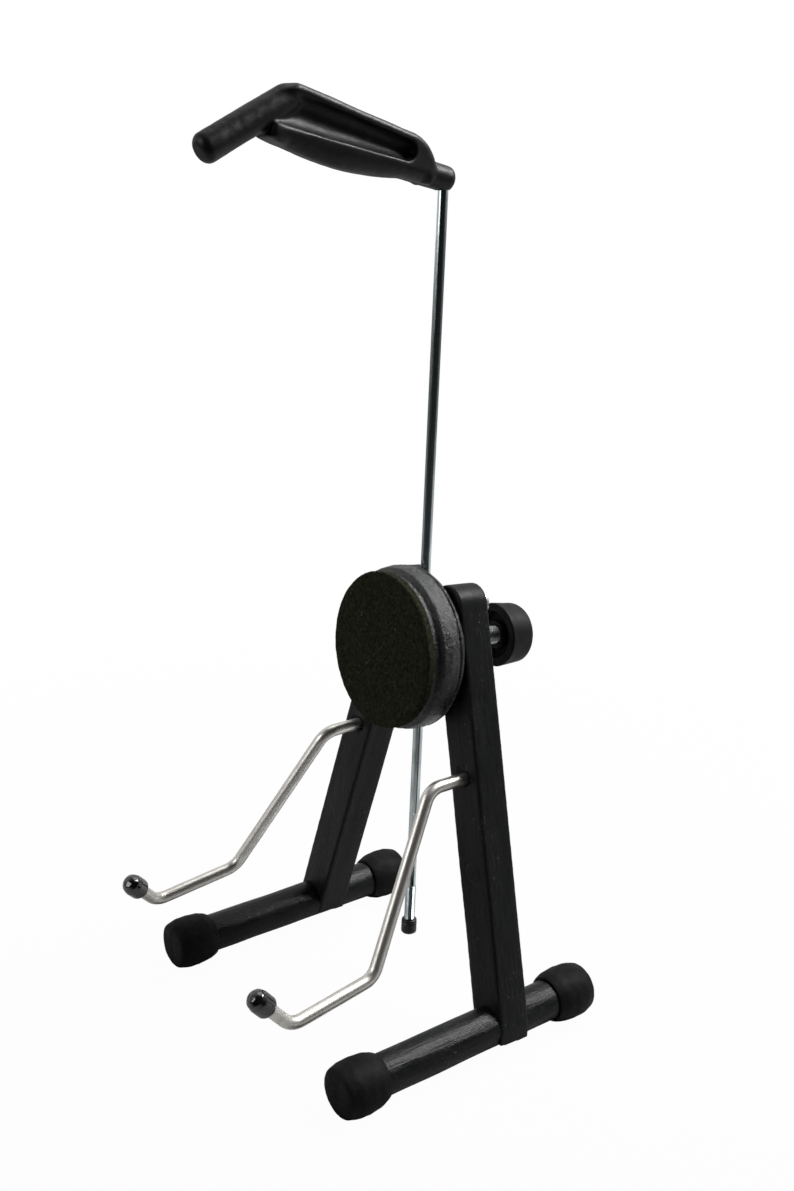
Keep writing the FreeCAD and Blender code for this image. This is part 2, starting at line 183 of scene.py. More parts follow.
def soften_near(piece, place, reach, iterations):
    """Smooths the mesh around one place, fading out at the reach."""
    group = piece.vertex_groups.new(name="soft")
    for vertex in piece.data.vertices:
        distance = (vertex.co / MM - place).length
        weight = 1 - smoothstep(0.45 * reach, reach, distance)
        if weight > 0:
            group.add([vertex.index], weight, "REPLACE")
    smooth = piece.modifiers.new("soften", "SMOOTH")
    smooth.factor = 0.5
    smooth.iterations = iterations
    smooth.vertex_group = group.name
    apply_modifiers(piece)
    piece.vertex_groups.clear()


def fill_lower_end(piece, height):
    """Joins the hull of the piece's points below a height, so that no bore is left there."""
    work = bmesh.new()
    work.from_mesh(piece.data)
    low = [work.verts.new(v.co) for v in list(work.verts) if v.co.z < height]
    hull = bmesh.ops.convex_hull(work, input=low)
    loose = {v for v in hull["geom_interior"] if isinstance(v, bmesh.types.BMVert)}
    bmesh.ops.delete(work, geom=list(loose), context="VERTS")
    work.to_mesh(piece.data)
    work.free()


def eased_profile(corners, steps=5):
    """Outline from (radius, height, rounding) corners, each rounding an arc."""
    points = [Vector((c[0], c[1])) for c in corners]
    outline = [points[0]]
    for before, corner, after, spec in zip(points, points[1:], points[2:], corners[1:]):
        rounding = spec[2]
        if rounding == 0:
            outline.append(corner)
            continue
        towards = (before - corner).normalized()
        away = (after - corner).normalized()
        half = towards.angle(away) / 2
        setback = rounding / math.tan(half)
        centre = corner + (towards + away).normalized() * (rounding / math.sin(half))
        enter = corner + towards * setback - centre
        leave = corner + away * setback - centre
        for step in range(steps + 1):
            share = step / steps
            spoke = enter.lerp(leave, share).normalized() * rounding
            outline.append(centre + spoke)
    outline.append(points[-1])
    return outline


def split_runs(outline, longest):
    """The outline with points added so that no run is longer than longest."""
    dense = [outline[0]]
    for start, end in zip(outline, outline[1:]):
        pieces = max(1, math.ceil((end - start).length / longest))
        for step in range(1, pieces + 1):
            dense.append(start.lerp(end, step / pieces))
    return dense


def lathe(name, corners, origin, axis, segments, longest):
    """Turned piece from (radius, height, rounding) corners, with no run longer than longest."""
    outline = split_runs(eased_profile(corners), longest)
    turn = axis.to_track_quat("Z", "Y")
    vertices = []
    rings = []
    for radius, height in outline:
        count = 1 if radius < 1e-6 else segments
        rings.append(list(range(len(vertices), len(vertices) + count)))
        for index in range(count):
            angle = 2 * math.pi * index / segments
            spoke = Vector((radius * math.cos(angle), radius * math.sin(angle), height))
            vertices.append(origin + turn @ (spoke * MM))
    faces = []
    for low, high in zip(rings, rings[1:]):
        faces += bridge(low, high)
    return new_piece(name, vertices, faces)


def bridge(low, high):
    """Faces between two rings; a ring of one vertex is a pole."""
    count = max(len(low), len(high))
    faces = []
    for index in range(count if count > 1 else 0):
        after = (index + 1) % count
        if len(low) == 1:
            faces.append((low[0], high[after], high[index]))
        elif len(high) == 1:
            faces.append((low[index], low[after], high[0]))
        else:
            faces.append((low[index], low[after], high[after], high[index]))
    return faces


def threaded_rod(name, origin, axis, length, plain_radius, thread):
    """Rod with a true helical thread; thread is its start, end, pitch, root and crest."""
    turn = axis.to_track_quat("Z", "Y")
    segments = 40
    margin = 0.6
    plain_step = 2.0
    heights = list(np.arange(0, length, thread["pitch"] / 8))
    heights = [h for h in heights if thread["start"] - margin < h < thread["end"] + margin]
    heights = [0.0] + heights + list(np.arange(thread["end"] + 1, length, plain_step)) + [length]
    vertices = [origin]
    rings = [[0]]
    for height in sorted(set(heights)):
        ring = []
        inside = min(height - thread["start"], thread["end"] - height)
        fade = min(1, max(0, inside / thread["pitch"]))
        for index in range(segments):
            angle = 2 * math.pi * index / segments
            phase = (height / thread["pitch"] - index / segments) % 1
            flank = 1 - abs(2 * phase - 1)
            rise = thread["root"] + (thread["crest"] - thread["root"]) * flank
            radius = plain_radius * (1 - fade) + rise * fade
            spoke = Vector((radius * math.cos(angle), radius * math.sin(angle), height))
            ring.append(len(vertices))
            vertices.append(origin + turn @ (spoke * MM))
        rings.append(ring)
    rings.append([len(vertices)])
    vertices.append(origin + axis * length * MM)
    faces = []
    for low, high in zip(rings, rings[1:]):
        faces += bridge(low, high)
    return new_piece(name, vertices, faces)


def grain_frame(direction):
    """Two unit vectors across a direction, and the direction."""
    across = direction.cross(X_AXIS if abs(direction.x) < 0.8 else Y_AXIS).normalized()
    return across, direction.cross(across).normalized(), direction


def weathered(piece, direction, layers, extra=None):
    """Moves each vertex along its normal by noise.

    Each layer is (depth, size across the direction, size along it, seed).
    extra(point, normal) adds a further offset.
    """
    across, other, along = grain_frame(direction)
    mesh = piece.data
    offsets = []
    for vertex in mesh.vertices:
        point = vertex.co / MM
        local = Vector((point.dot(across), point.dot(other), point.dot(along)))
        total = 0
        for depth, wide, long, seed in layers:
            sample = Vector((local.x / wide + seed, local.y / wide, local.z / long))
            total += depth * noise.noise(sample)
        if extra:
            total += extra(vertex.co, vertex.normal)
        offsets.append(vertex.normal * total * MM)
    for vertex, offset in zip(mesh.vertices, offsets):
        vertex.co += offset
    mesh.update()
    return piece


def smoothstep(low, high, value):
    share = min(1, max(0, (value - low) / (high - low)))
    return share * share * (3 - 2 * share)


# ---- materials ---------------------------------------------------------------------
class Surface:
    """A Principled material whose colour, roughness and bump come from noise."""

    def __init__(self, name, **constants):
        self.material = bpy.data.materials.new(name)
        self.material.use_nodes = True
        self.nodes = self.material.node_tree.nodes
        self.links = self.material.node_tree.links
        self.shader = self.nodes["Principled BSDF"]
        for socket, value in constants.items():
            self.shader.inputs[socket.replace("_", " ")].default_value = value
        self.places = self.nodes.new("ShaderNodeTexCoord").outputs["Object"]

    def stretched(self, direction, wide, long):
        """Coordinates in which one unit is as wide across a direction and as long along it."""
        mapping = self.nodes.new("ShaderNodeMapping")
        mapping.vector_type = "TEXTURE"
        mapping.inputs["Rotation"].default_value = direction.to_track_quat("Z", "Y").to_euler()
        mapping.inputs["Scale"].default_value = (wide * MM, wide * MM, long * MM)
        self.links.new(self.places, mapping.inputs["Vector"])
        return mapping.outputs["Vector"]

    def noise(self, vector, detail=3, roughness=0.6, distortion=0):
        node = self.nodes.new("ShaderNodeTexNoise")
        node.inputs["Scale"].default_value = 1
        node.inputs["Detail"].default_value = detail
        node.inputs["Roughness"].default_value = roughness
        node.inputs["Distortion"].default_value = distortion
        self.links.new(vector, node.inputs["Vector"])
        return node.outputs["Fac"]

    def cells(self, vector):
        """Distance to the nearest of many scattered points."""
        node = self.nodes.new("ShaderNodeTexVoronoi")
        node.inputs["Scale"].default_value = 1
        self.links.new(vector, node.inputs["Vector"])
        return node.outputs["Distance"]

    def edges(self):
        """Above a half where the mesh is convex."""
        return self.nodes.new("ShaderNodeNewGeometry").outputs["Pointiness"]

    def ramp(self, value, stops):
        """Colours by value; stops are (position, colour) pairs."""
        node = self.nodes.new("ShaderNodeValToRGB")
        elements = node.color_ramp.elements
        while len(elements) < len(stops):
            elements.new(0.5)
        for element, (position, colour) in zip(elements, stops):
            element.position = position
            element.color = (*colour, 1)
        self.links.new(value, node.inputs["Fac"])
        return node.outputs["Color"]

    def remap(self, value, from_low, from_high, to_low, to_high):
        node = self.nodes.new("ShaderNodeMapRange")
        limits = (from_low, from_high, to_low, to_high)
        for socket, limit in zip(("From Min", "From Max", "To Min", "To Max"), limits):
            node.inputs[socket].default_value = limit
        self.links.new(value, node.inputs["Value"])
        return node.outputs["Result"]

    def math(self, operation, first, second):
        node = self.nodes.new("ShaderNodeMath")
        node.operation = operation
        for socket, value in zip(node.inputs, (first, second)):
            if isinstance(value, (int, float)):
                socket.default_value = value
            else:
                self.links.new(value, socket)
        return node.outputs["Value"]

    def mix(self, factor, under, over):
        """Colour under, covered by colour over where factor is 1."""
        node = self.nodes.new("ShaderNodeMix")
        node.data_type = "RGBA"
        self.links.new(factor, node.inputs["Factor"])
        for socket, colour in ((node.inputs[MIX_UNDER], under), (node.inputs[MIX_OVER], over)):
            if isinstance(colour, tuple):
                socket.default_value = (*colour, 1)
            else:
                self.links.new(colour, socket)
        return node.outputs[MIX_RESULT]

    def finish(self, colour, roughness, height, depth):
        self.links.new(colour, self.shader.inputs["Base Color"])
        self.links.new(roughness, self.shader.inputs["Roughness"])
        bump = self.nodes.new("ShaderNodeBump")
        bump.inputs["Distance"].default_value = depth * MM
        bump.inputs["Strength"].default_value = 1.0
        self.links.new(height, bump.inputs["Height"])
        self.links.new(bump.outputs["Normal"], self.shader.inputs["Normal"])
        return self.material


def painted_wood(name, grain, gloss=0.16, rough=(0.36, 0.52), relief_depth=0.05):
    """Brushed black paint over wood: streaks along the grain, specks and rubbed edges."""
    surface = Surface(name, Specular_IOR_Level=gloss)
    streaks = surface.noise(surface.stretched(grain, 0.42, 5.5), 4, 0.70, 0.3)
    patches = surface.noise(surface.stretched(grain, 6, 14), 3, 0.55)
    pores = surface.noise(surface.stretched(grain, 0.16, 0.5), 2, 0.7)
    fibres = surface.noise(surface.stretched(grain, 0.13, 1.6), 2, 0.6)
    specks = surface.cells(surface.stretched(grain, 0.9, 1.6))
    black, worn = (0.0030, 0.0032, 0.0033), (0.0105, 0.0112, 0.0114)
    colour = surface.ramp(streaks, [(0.35, black), (0.72, worn)])
    dust = surface.remap(specks, 0.03, 0.15, 1.0, 0.0)
    dusty = surface.math("MULTIPLY", dust, surface.remap(patches, 0.52, 0.66, 0, 0.75))
    colour = surface.mix(dusty, colour, (0.24, 0.245, 0.235))
    hairs = surface.math("MULTIPLY", surface.remap(fibres, 0.62, 0.70, 0, 0.7),
                         surface.remap(patches, 0.44, 0.60, 0.1, 1))
    colour = surface.mix(hairs, colour, (0.060, 0.064, 0.062))
    rubbed = surface.remap(surface.edges(), 0.535, 0.60, 0, 0.35)
    rubbed = surface.math("MULTIPLY", rubbed, surface.remap(patches, 0.42, 0.60, 0, 1))
    colour = surface.mix(rubbed, colour, (0.085, 0.080, 0.070))
    roughness = surface.remap(patches, 0.3, 0.7, *rough)
    relief = surface.math("ADD", streaks, surface.math("MULTIPLY", pores, 0.5))
    return surface.finish(colour, roughness, relief, relief_depth)


def pebbled_paint(name):
    """Thick black paint over end grain: a pebbled, half-glossy skin rubbed grey on its peaks."""
    surface = Surface(name, Specular_IOR_Level=0.60)
    pebbles = surface.noise(surface.stretched(X_AXIS, 0.55, 0.55), 4, 0.72)
    patches = surface.noise(surface.stretched(X_AXIS, 5, 3), 3, 0.55)
    peaks = surface.remap(pebbles, 0.54, 0.66, 0, 1)
    black, grey = (0.0040, 0.0042, 0.0043), (0.018, 0.019, 0.019)
    colour = surface.ramp(pebbles, [(0.35, black), (0.60, grey)])
    rubbed = surface.math("MULTIPLY", peaks, surface.remap(patches, 0.38, 0.58, 0.15, 0.9))
    colour = surface.mix(rubbed, colour, (0.060, 0.064, 0.062))
    roughness = surface.remap(patches, 0.3, 0.7, 0.20, 0.34)
    return surface.finish(colour, roughness, pebbles, 0.26)


def felt(name):
    """Dense olive-black felt: matt, with loose light fibres and a frayed brown edge."""
    surface = Surface(name, Specular_IOR_Level=0.04)
    nap = surface.noise(surface.stretched(HUB_AXIS, 0.60, 0.60), 5, 0.85, 0.5)
    clumps = surface.noise(surface.stretched(HUB_AXIS, 1.7, 1.7), 3, 0.6)
    fibres = surface.cells(surface.stretched(HUB_AXIS, 0.55, 0.55))
    shadow, olive = (0.0020, 0.0022, 0.0010), (0.0400, 0.0400, 0.0255)
    colour = surface.ramp(nap, [(0.36, shadow), (0.62, olive)])
    lint = surface.remap(fibres, 0.0, 0.095, 1, 0)
    lint = surface.math("MULTIPLY", lint, surface.remap(clumps, 0.48, 0.62, 0, 0.7))
    colour = surface.mix(lint, colour, (0.15, 0.145, 0.095))
    frayed = surface.remap(surface.edges(), 0.53, 0.60, 0, 1)
    frayed = surface.math("MULTIPLY", frayed, surface.remap(nap, 0.48, 0.60, 0, 0.8))
    colour = surface.mix(frayed, colour, (0.17, 0.125, 0.065))
    roughness = surface.remap(clumps, 0.3, 0.7, 0.86, 0.98)
    return surface.finish(colour, roughness, nap, 0.30)


def metal(name, dull, bright, rough, direction, line_width, depth, nicked=0.6):
    """Drawn or plated metal with fine lines along a direction, faint stains and small nicks.

    rough is the roughness at a bright place and at a dull one.
    """
    surface = Surface(name, Metallic=1.0)
    lines = surface.noise(surface.stretched(direction, line_width, 5), 3, 0.7)
    stains = surface.noise(surface.stretched(direction, 1.6, 5), 4, 0.65, 0.4)
    nicks = surface.cells(surface.stretched(direction, 0.9, 1.3))
    colour = surface.ramp(stains, [(0.30, dull), (0.62, bright)])
    nick = surface.math("MULTIPLY", surface.remap(nicks, 0.0, 0.08, 1, 0), nicked)
    colour = surface.mix(nick, colour, tuple(0.25 * value for value in dull))
    at_bright, at_dull = rough
    roughness = surface.remap(stains, 0.3, 0.7, at_dull, at_bright)
    return surface.finish(colour, roughness, lines, depth)


def moulded(name, dark, light, rough, grain_size, depth, gloss, **more):
    """Moulded plastic or rubber: fine grain, faint mottling, dust specks and rubbed edges.

    rough is the roughness at a light place and at a dark one.
    """
    surface = Surface(name, Specular_IOR_Level=gloss, **more)
    grain = surface.noise(surface.stretched(Z_AXIS, grain_size, grain_size), 3, 0.65)
    mottle = surface.noise(surface.stretched(Z_AXIS, 3.2, 4.5), 4, 0.6)
    specks = surface.cells(surface.stretched(X_AXIS, 0.8, 0.8))
    colour = surface.ramp(mottle, [(0.32, dark), (0.70, light)])
    dust = surface.remap(specks, 0.0, 0.07, 1, 0)
    dust = surface.math("MULTIPLY", dust, surface.remap(grain, 0.45, 0.62, 0, 0.45))
    colour = surface.mix(dust, colour, tuple(0.03 + 2.5 * value for value in light))
    rubbed = surface.remap(surface.edges(), 0.54, 0.62, 0, 0.3)
    colour = surface.mix(rubbed, colour, tuple(0.008 + 1.4 * value for value in light))
    at_light, at_dark = rough
    roughness = surface.remap(mottle, 0.3, 0.7, at_dark, at_light)
    return surface.finish(colour, roughness, grain, depth)


# ---- putting a piece in place ------------------------------------------------------
def stand_in(piece, node, material):
    """The piece is shown instead of a CAD node and moves with the node's body."""
    piece.data.materials.clear()
    piece.data.materials.append(material)
    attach(piece, BODY_OF[node])
    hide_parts(node)
    return piece


def refinish(node, material):
    """A CAD node that stays gets a better material."""
    for holder in frame["nodes"][node].material_slots:
        holder.material = material


# ---- hub ---------------------------------------------------------------------------
def disc_piece():
    """Painted wooden disc: a groove behind the pad, a full rim and a fine raised back edge."""
    low, high, radius = (value / MM for value in span("hub_disc", HUB_CENTRE, HUB_AXIS))
    corners = [
        (0, low, 0),
        (radius - 1.6, low, 0.3),
        (radius - 1.4, low + 1.2, 0.4),
        (radius - 0.3, low + 2.0, 0.7),
        (radius, low + 3.6, 1.2),
        (radius - 0.05, high - 1.6, 0.3),
        (radius - 0.45, high - 1.25, 0.12),
        (radius - 0.05, high - 0.9, 0.25),
        (radius - 0.5, high, 0.25),
        (0, high, 0),
    ]
    piece = lathe("hub_disc_wood", corners, HUB_CENTRE, HUB_AXIS, 240, 0.35)
    layers = [(0.10, 1.1, 1.1, 3), (0.04, 0.45, 0.45, 9), (0.10, 7, 7, 5)]
    weathered(piece, HUB_AXIS, layers)
    return stand_in(piece, "hub_disc", pebbled_paint("disc_paint"))


def pad_piece():
    """Felt disc, lightly crowned, its cut edge uneven."""
    low, high, radius = (value / MM for value in span("back_pad", HUB_CENTRE, HUB_AXIS))
    corners = [
        (0, low, 0),
        (radius * 0.55, low + 0.02, 6),
        (radius * 0.9, low + 0.12, 6),
        (radius, low + 0.28, 0.45),
        (radius - 0.12, high, 0.05),
        (0, high, 0),
    ]
    piece = lathe("back_pad_felt", corners, HUB_CENTRE, HUB_AXIS, 256, 0.30)

    def cut_edge(point, normal):
        outward = 1 - abs(normal.dot(HUB_AXIS))
        return outward * 0.14 * noise.noise(point / MM / 0.9)

    layers = [(0.05, 0.45, 0.45, 1), (0.07, 2.6, 2.6, 4)]
    weathered(piece, HUB_AXIS, layers, cut_edge)
    return stand_in(piece, "back_pad", felt("pad_felt"))


def block_piece():
    """Painted wooden block behind the disc."""
    piece = remeshed(freed_copy("mast_block", "mast_block_wood"), 0.25, 3)
    weathered(piece, Z_AXIS, [(0.08, 0.8, 6, 2), (0.10, 4, 9, 6)])
    return stand_in(piece, "mast_block", painted_wood("block_paint", Z_AXIS))


# ---- clamp -------------------------------------------------------------------------
def knob_piece():
    """Hand knob: a cup at the front with a boss round the screw, and a rounded back rim."""
    low, high, radius = (value / MM for value in span("clamp_knob", HUB_CENTRE, HUB_AXIS))
    corners = [
        (2.02, low + 0.4, 0),
        (3.0, low + 0.4, 0.3),
        (3.0, low + 1.6, 0.25),
        (4.9, low + 1.6, 0.4),
        (5.1, low, 0.3),
        (radius, low, 0.35),
        (radius * 0.919, high - 0.15, 1.5),
        (radius * 0.5, high, 3),
        (0, high - 0.08, 0),
    ]
    piece = lathe("clamp_knob_shell", corners, HUB_CENTRE, HUB_AXIS, 160, 0.35)
    weathered(piece, HUB_AXIS, [(0.035, 1.4, 1.4, 8), (0.05, 6, 6, 2)])
    finish = moulded("knob_finish", (0.0035, 0.0040, 0.0037), (0.0080, 0.0090, 0.0083),
                     (0.42, 0.60), 0.22, 0.05, 0.18)
    return stand_in(piece, "clamp_knob", finish)


def clamp_screw_piece():
    """Screw with a cut thread along its whole length."""
    low, high, radius = (value / MM for value in span("clamp_screw", HUB_CENTRE, HUB_AXIS))
    length = high - low
    thread = {"start": 0.3, "end": length - 1, "pitch": SCREW_PITCH,
              "root": radius - 0.42, "crest": radius}
    start = HUB_CENTRE + HUB_AXIS * low * MM
    piece = threaded_rod("clamp_screw_thread", start, HUB_AXIS, length, radius - 0.4, thread)
    finish = metal("zinc_thread", (0.30, 0.31, 0.31), (0.66, 0.68, 0.68), (0.22, 0.42),
                   HUB_AXIS, 0.12, 0.012)
    return stand_in(piece, "clamp_screw", finish)


# ---- legs and feet -----------------------------------------------------------------
def off_hub_axis(point, centre):
    """Distance of a point from the line through a centre along the hub's axis, in millimetres."""
    spoke = point - centre
    return (spoke - HUB_AXIS * spoke.dot(HUB_AXIS)).length / MM


def leg_piece(side):
    """Painted wooden leg: a ragged prong hole, and a plugged hole in the right leg's front."""
    node = f"{side}_leg"
    piece = freed_copy(node, f"{side}_leg_wood")
    dowel_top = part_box(f"{side}_foot_dowel")[1].z
    fill_lower_end(piece, dowel_top + 0.5 * MM)
    remeshed(piece, 0.28, 4)
    up = leg_axis(side)
    entry = Vector(JOINTS[f"{side}_prong_swing"]["pos_m"])
    plug = entry - up * PLUG_DROP * MM

    def marks(point, normal):
        """Marks on the front face only."""
        if normal.dot(HUB_AXIS) > 0:
            return 0
        chipped = 2.5 + 0.9 * noise.noise(point / MM / 0.8)
        offset = -0.35 * (1 - smoothstep(1.3, chipped, off_hub_axis(point, entry)))
        if side == "right":
            ring = off_hub_axis(point, plug)
            offset -= 0.11 * (1 - smoothstep(0.0, 0.28, abs(ring - PLUG_RADIUS)))
            offset += 0.05 * (1 - smoothstep(PLUG_RADIUS - 0.7, PLUG_RADIUS - 0.1, ring))
        return offset

    layers = [(0.02, 0.5, 7, 1), (0.09, 3.5, 22, 4), (0.015, 0.8, 0.8, 7)]
    weathered(piece, up, layers, marks)
    return stand_in(piece, node, painted_wood(f"{side}_leg_paint", up))


def dowel_piece(side):
    """Turned wooden foot bar, glossier than the legs."""
    node = f"{side}_foot_dowel"
    piece = remeshed(freed_copy(node, f"{side}_foot_dowel_wood"), 0.26, 3)
    weathered(piece, Y_AXIS, [(0.02, 0.6, 5, 2), (0.10, 2.2, 9, 8), (0.015, 0.7, 0.7, 5)])
    paint = painted_wood(f"{side}_dowel_paint", Y_AXIS, 0.17, (0.27, 0.36), 0.09)
    return stand_in(piece, node, paint)


def foot_cap_piece(side, end):
    """Rubber cup pushed over the dowel's end, with a rolled mouth and a bulging wall."""
    node = f"{side}_{end}_foot_cap"
    low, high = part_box(node)
    radius = (high.z - low.z) / 2 / MM
    length = (high.y - low.y) / MM
    axis, outer_y = (Y_AXIS, low.y) if end == "front" else (-Y_AXIS, high.y)
    origin = Vector(((low.x + high.x) / 2, outer_y, radius * MM))
    dowel_low, dowel_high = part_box(f"{side}_foot_dowel")
    dowel = (dowel_high.x - dowel_low.x) / 2 / MM
    corners = [
        (0, 0.12, 0),
        (radius - 2.0, 0, 6),
        (radius - 0.75, 0.15, 0.9),
        (radius - 0.08, 2.6, 4),
        (radius, length * 0.52, 5),
        (radius - 0.25, length * 0.80, 4),
        (radius - 0.75, length - 0.5, 0.5),
        (radius - 1.0, length, 0.22),
        (dowel + 0.06, length, 0.1),
        (dowel + 0.02, length - 1.2, 0.1),
        (0, length - 1.25, 0),
    ]
    piece = lathe(f"{side}_{end}_foot_cap_rubber", corners, origin, axis, 144, 0.35)

    def on_floor(point, normal):
        """Rubber presses flat where the cap stands."""
        return -0.05 * (1 - smoothstep(0.0, 0.4, point.z / MM))

    weathered(piece, Y_AXIS, [(0.05, 1.1, 1.1, 3), (0.12, 5, 5, 6)], on_floor)
    finish = moulded(f"{side}_{end}_rubber", (0.0022, 0.0024, 0.0022), (0.0060, 0.0066, 0.0061),
                     (0.52, 0.72), 0.20, 0.07, 0.12)
    return stand_in(piece, node, finish)


# ---- prongs ------------------------------------------------------------------------
def prong_piece(side):
    """Bent steel wire, slightly wavy along its length."""
    node = f"{side}_prong"
    piece = remeshed(freed_copy(node, f"{side}_prong_wire"), 0.15, 18)

    def restored(point, normal):
        return WIRE_THINNING

    weathered(piece, Y_AXIS, [(0.02, 3.2, 3.2, 5)], restored)
    along_wire = (Y_AXIS * 0.8 + Z_AXIS * 0.6).normalized()
    finish = metal(f"{side}_prong_steel", (0.74, 0.71, 0.66), (0.90, 0.875, 0.83), (0.34, 0.42),
                   along_wire, 1.2, 0.0004, 0.1)
    return stand_in(piece, node, finish)


def tip_piece(side):
    """Glossy dipped tip at the end of a prong."""
    node = f"{side}_prong_tip"
    piece = remeshed(freed_copy(node, f"{side}_prong_tip_vinyl"), 0.14, 8)
    weathered(piece, Z_AXIS, [(0.04, 1.6, 1.6, 3)])
    finish = moulded(f"{side}_tip_vinyl", (0.0030, 0.0030, 0.0030), (0.0070, 0.0070, 0.0070),
                     (0.06, 0.12), 0.35, 0.006, 1.0, Coat_Weight=0.6)
    return stand_in(piece, node, finish)


# ---- mast and hook -----------------------------------------------------------------
def mast_piece():
    """Plated rod, threaded at its lower end."""
    low, high, crest = (value / MM for value in span("mast_rod", MAST_BASE, MAST_AXIS))
    thread = {"start": 0.2, "end": ROLLED_THREAD, "pitch": ROLLED_PITCH,
              "root": crest - 0.29, "crest": crest}
    start = MAST_BASE + MAST_AXIS * low * MM
    piece = threaded_rod("mast_rod_thread", start, MAST_AXIS, high - low, 1.0, thread)
    finish = metal("mast_plating", (0.38, 0.43, 0.44), (0.66, 0.74, 0.75), (0.10, 0.22),
                   MAST_AXIS, 0.12, 0.006)
    return stand_in(piece, "mast_rod", finish)


def end_cap_piece():
    """Vinyl cap on the mast's lower end, with a shallow groove."""
    low, high, radius = (value / MM for value in span("mast_end_cap", MAST_BASE, MAST_AXIS))
    corners = [
        (0, low, 0),
        (radius, low, 0.5),
        (radius, high - 0.9, 0.2),
        (radius - 0.12, high - 0.7, 0.1),
        (radius, high - 0.5, 0.2),
        (radius - 0.1, high, 0.2),
        (0, high - 0.05, 0),
    ]
    piece = lathe("mast_end_cap_vinyl", corners, MAST_BASE, MAST_AXIS, 72, 0.2)
    weathered(piece, MAST_AXIS, [(0.03, 0.9, 0.9, 3)])
    finish = moulded("end_cap_vinyl", (0.0040, 0.0040, 0.0040), (0.0090, 0.0090, 0.0090),
                     (0.22, 0.34), 0.25, 0.02, 0.5)
    return stand_in(piece, "mast_end_cap", finish)


def belly_line(piece, front, back):
    """Smooth curve through the lowest points of a piece between two places along Y."""
    lowest = {}
    for vertex in piece.data.vertices:
        station = round(vertex.co.y / MM)
        lowest[station] = min(lowest.get(station, math.inf), vertex.co.z / MM)
    stations = [y for y in sorted(lowest) if front <= y <= back]
    return np.polynomial.Polynomial.fit(stations, [lowest[y] for y in stations], 4)


def hull_shaped(piece, arm_front, top):
    """Narrows the hook's arm below its ledge, more the nearer to the belly."""
    arm_back = arm_front + ARM_LENGTH
    belly = belly_line(piece, arm_front - 4, arm_back)
    for vertex in piece.data.vertices:
        y, z = vertex.co.y / MM, vertex.co.z / MM
        ledge = top - LEDGE_DROP - LEDGE_SLOPE * (y - arm_front)
        depth = (ledge - z) / max(1.5, ledge - belly(y))
        share = min(1, max(0, depth)) * smoothstep(arm_front - 2, arm_front + 2, y)
        share *= 1 - smoothstep(arm_back - 3, arm_back, y)
        vertex.co.x *= math.sqrt(1 - HULL_NARROWING * share * share)


def hook_piece():
    """Moulded neck hook: rounded like a boat's hull under the ledge of its hollowed sides."""
    piece = remeshed(freed_copy("neck_hook", "neck_hook_moulding"), 0.24, 6)
    low, high = (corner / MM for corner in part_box("neck_hook"))
    arm_front = low.y + ARM_FRONT
    hull_shaped(piece, arm_front, high.z)
    elbow = Vector((0, arm_front + 2.4, high.z - 2.7))
    soften_near(piece, elbow, ELBOW_SOFTENED, 45)
    weathered(piece, Y_AXIS, [(0.09, 4.5, 7, 3), (0.03, 1.2, 1.2, 6)])
    finish = moulded("hook_finish", (0.0030, 0.0035, 0.0030), (0.0075, 0.0085, 0.0074),
                     (0.32, 0.48), 0.30, 0.045, 0.26)
    return stand_in(piece, "neck_hook", finish)


# ---- fasteners that keep their CAD shape -------------------------------------------
def fasteners():
    """Zinc screws and washers, and the brass insert."""
    zinc = metal("zinc_plate", (0.34, 0.35, 0.35), (0.66, 0.68, 0.69), (0.22, 0.40),
                 X_AXIS, 0.18, 0.02)
    brass = metal("insert_brass", (0.38, 0.27, 0.12), (0.76, 0.57, 0.29), (0.24, 0.42),
                  X_AXIS, 0.18, 0.02)
    for node, slot in SLOT_OF.items():
        if slot == "zinc_steel" and node != "clamp_screw":
            refinish(node, zinc)
        if slot == "brass_insert":
            refinish(node, brass)


# ---- surroundings ------------------------------------------------------------------
def is_camera_ray(tree):
    return tree.nodes.new("ShaderNodeLightPath").outputs["Is Camera Ray"]


def reach_along(tree, places, direction):
    """How far places lie along a direction."""
    node = tree.nodes.new("ShaderNodeVectorMath")
    node.operation = "DOT_PRODUCT"
    node.inputs[1].default_value = direction
    tree.links.new(places, node.inputs[0])
    return node.outputs["Value"]


def length_of(tree, places):
    node = tree.nodes.new("ShaderNodeVectorMath")
    node.operation = "LENGTH"
    tree.links.new(places, node.inputs[0])
    return node.outputs["Value"]


def floor_paper():
    """Paper that looks white, and lights the stand less the nearer it is to the camera's side."""
    surface = Surface("floor_paper", Specular_IOR_Level=0.1, Roughness=0.9)
    tree = surface.material.node_tree
    towards = reach_along(tree, surface.places, -BEHIND)
    shade = surface.remap(towards, 0.0, 0.16, 0.45, 0.05)
    tree.links.new(shade, surface.shader.inputs["Base Color"])
    glow = tree.nodes.new("ShaderNodeEmission")
    glow.inputs["Color"].default_value = (1, 1, 1, 1)
    glow.inputs["Strength"].default_value = 1.0
    share = surface.remap(length_of(tree, surface.places), 0.10, 0.30, 0.975, 1.0)
    blend = tree.nodes.new("ShaderNodeMixShader")
    tree.links.new(surface.math("MULTIPLY", share, is_camera_ray(tree)), blend.inputs["Fac"])
    tree.links.new(surface.shader.outputs["BSDF"], blend.inputs[1])
    tree.links.new(glow.outputs["Emission"], blend.inputs[2])
    tree.links.new(blend.outputs["Shader"], tree.nodes["Material Output"].inputs["Surface"])
    return surface.material


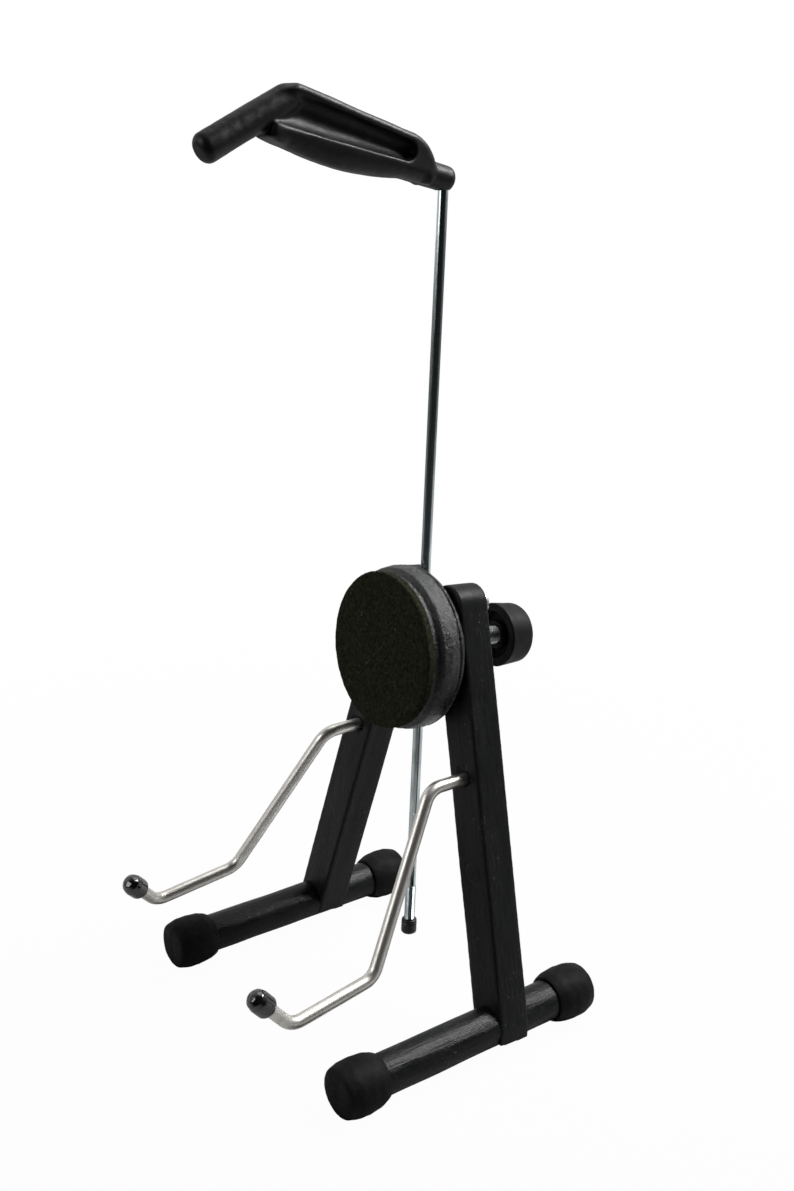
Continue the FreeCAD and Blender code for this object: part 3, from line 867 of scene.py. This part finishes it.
def floor():
    """Wide floor, just under the caps."""
    mesh = bpy.data.meshes.new("floor")
    work = bmesh.new()
    bmesh.ops.create_circle(work, cap_ends=True, segments=96, radius=FLOOR_RADIUS)
    work.to_mesh(mesh)
    work.free()
    piece = bpy.data.objects.new("floor", mesh)
    piece.location.z = -0.1 * MM
    bpy.context.scene.collection.objects.link(piece)
    mesh.materials.append(floor_paper())


def soft_light(name, offset, size, watts):
    """Square softbox at an offset from the stand's middle, aimed at it."""
    low, high = CAD_BOX
    middle = (low + high) / 2
    lamp = bpy.data.lights.new(name, "AREA")
    lamp.shape = "SQUARE"
    lamp.size = size
    lamp.energy = watts
    holder = bpy.data.objects.new(name, lamp)
    holder.location = middle + Vector(offset)
    holder.rotation_mode = "QUATERNION"
    holder.rotation_quaternion = (middle - holder.location).to_track_quat("-Z", "Y")
    bpy.context.scene.collection.objects.link(holder)


def backdrop():
    """White to the camera; it lights the stand brightly from behind and dimly from the front."""
    world = bpy.data.worlds.new("pale_studio")
    world.use_nodes = True
    tree = world.node_tree
    background = tree.nodes["Background"]
    background.inputs["Color"].default_value = (1, 1, 1, 1)
    places = tree.nodes.new("ShaderNodeTexCoord").outputs["Generated"]
    fade = tree.nodes.new("ShaderNodeMapRange")
    fade.interpolation_type = "SMOOTHSTEP"
    limits = {"From Min": -0.65, "From Max": 0.45, "To Min": 0.010, "To Max": 0.62}
    for socket, limit in limits.items():
        fade.inputs[socket].default_value = limit
    tree.links.new(reach_along(tree, places, BEHIND), fade.inputs["Value"])
    strength = tree.nodes.new("ShaderNodeMath")
    strength.operation = "MAXIMUM"
    tree.links.new(fade.outputs["Result"], strength.inputs[0])
    tree.links.new(is_camera_ray(tree), strength.inputs[1])
    tree.links.new(strength.outputs["Value"], background.inputs["Strength"])
    bpy.context.scene.world = world
    bpy.context.scene.view_settings.view_transform = "Standard"


def surroundings():
    backdrop()
    floor()
    soft_light("key_softbox", (0.16, 0.29, 0.38), 0.20, 3.6)
    soft_light("top_softbox", (-0.10, 0.18, 0.50), 0.34, 0.5)
    soft_light("front_fill", (-0.10, -0.55, 0.25), 0.34, 1.0)


def camera():
    lens = bpy.data.cameras.new("camera")
    lens.lens = CAMERA_LENS_MM
    lens.sensor_width = CAMERA_SENSOR_MM
    holder = bpy.data.objects.new("camera", lens)
    holder.rotation_mode = "QUATERNION"
    level = BEHIND.to_track_quat("-Z", "Y")
    holder.rotation_quaternion = level @ Matrix.Rotation(CAMERA_ROLL, 3, "Z").to_quaternion()
    holder.location = CAMERA_PLACE
    bpy.context.scene.collection.objects.link(holder)
    bpy.context.scene.camera = holder


def stand():
    disc_piece()
    pad_piece()
    block_piece()
    knob_piece()
    clamp_screw_piece()
    mast_piece()
    end_cap_piece()
    hook_piece()
    for side in SIDES:
        leg_piece(side)
        dowel_piece(side)
        prong_piece(side)
        tip_piece(side)
        for end in ("front", "rear"):
            foot_cap_piece(side, end)
    fasteners()


stand()
surroundings()
camera()
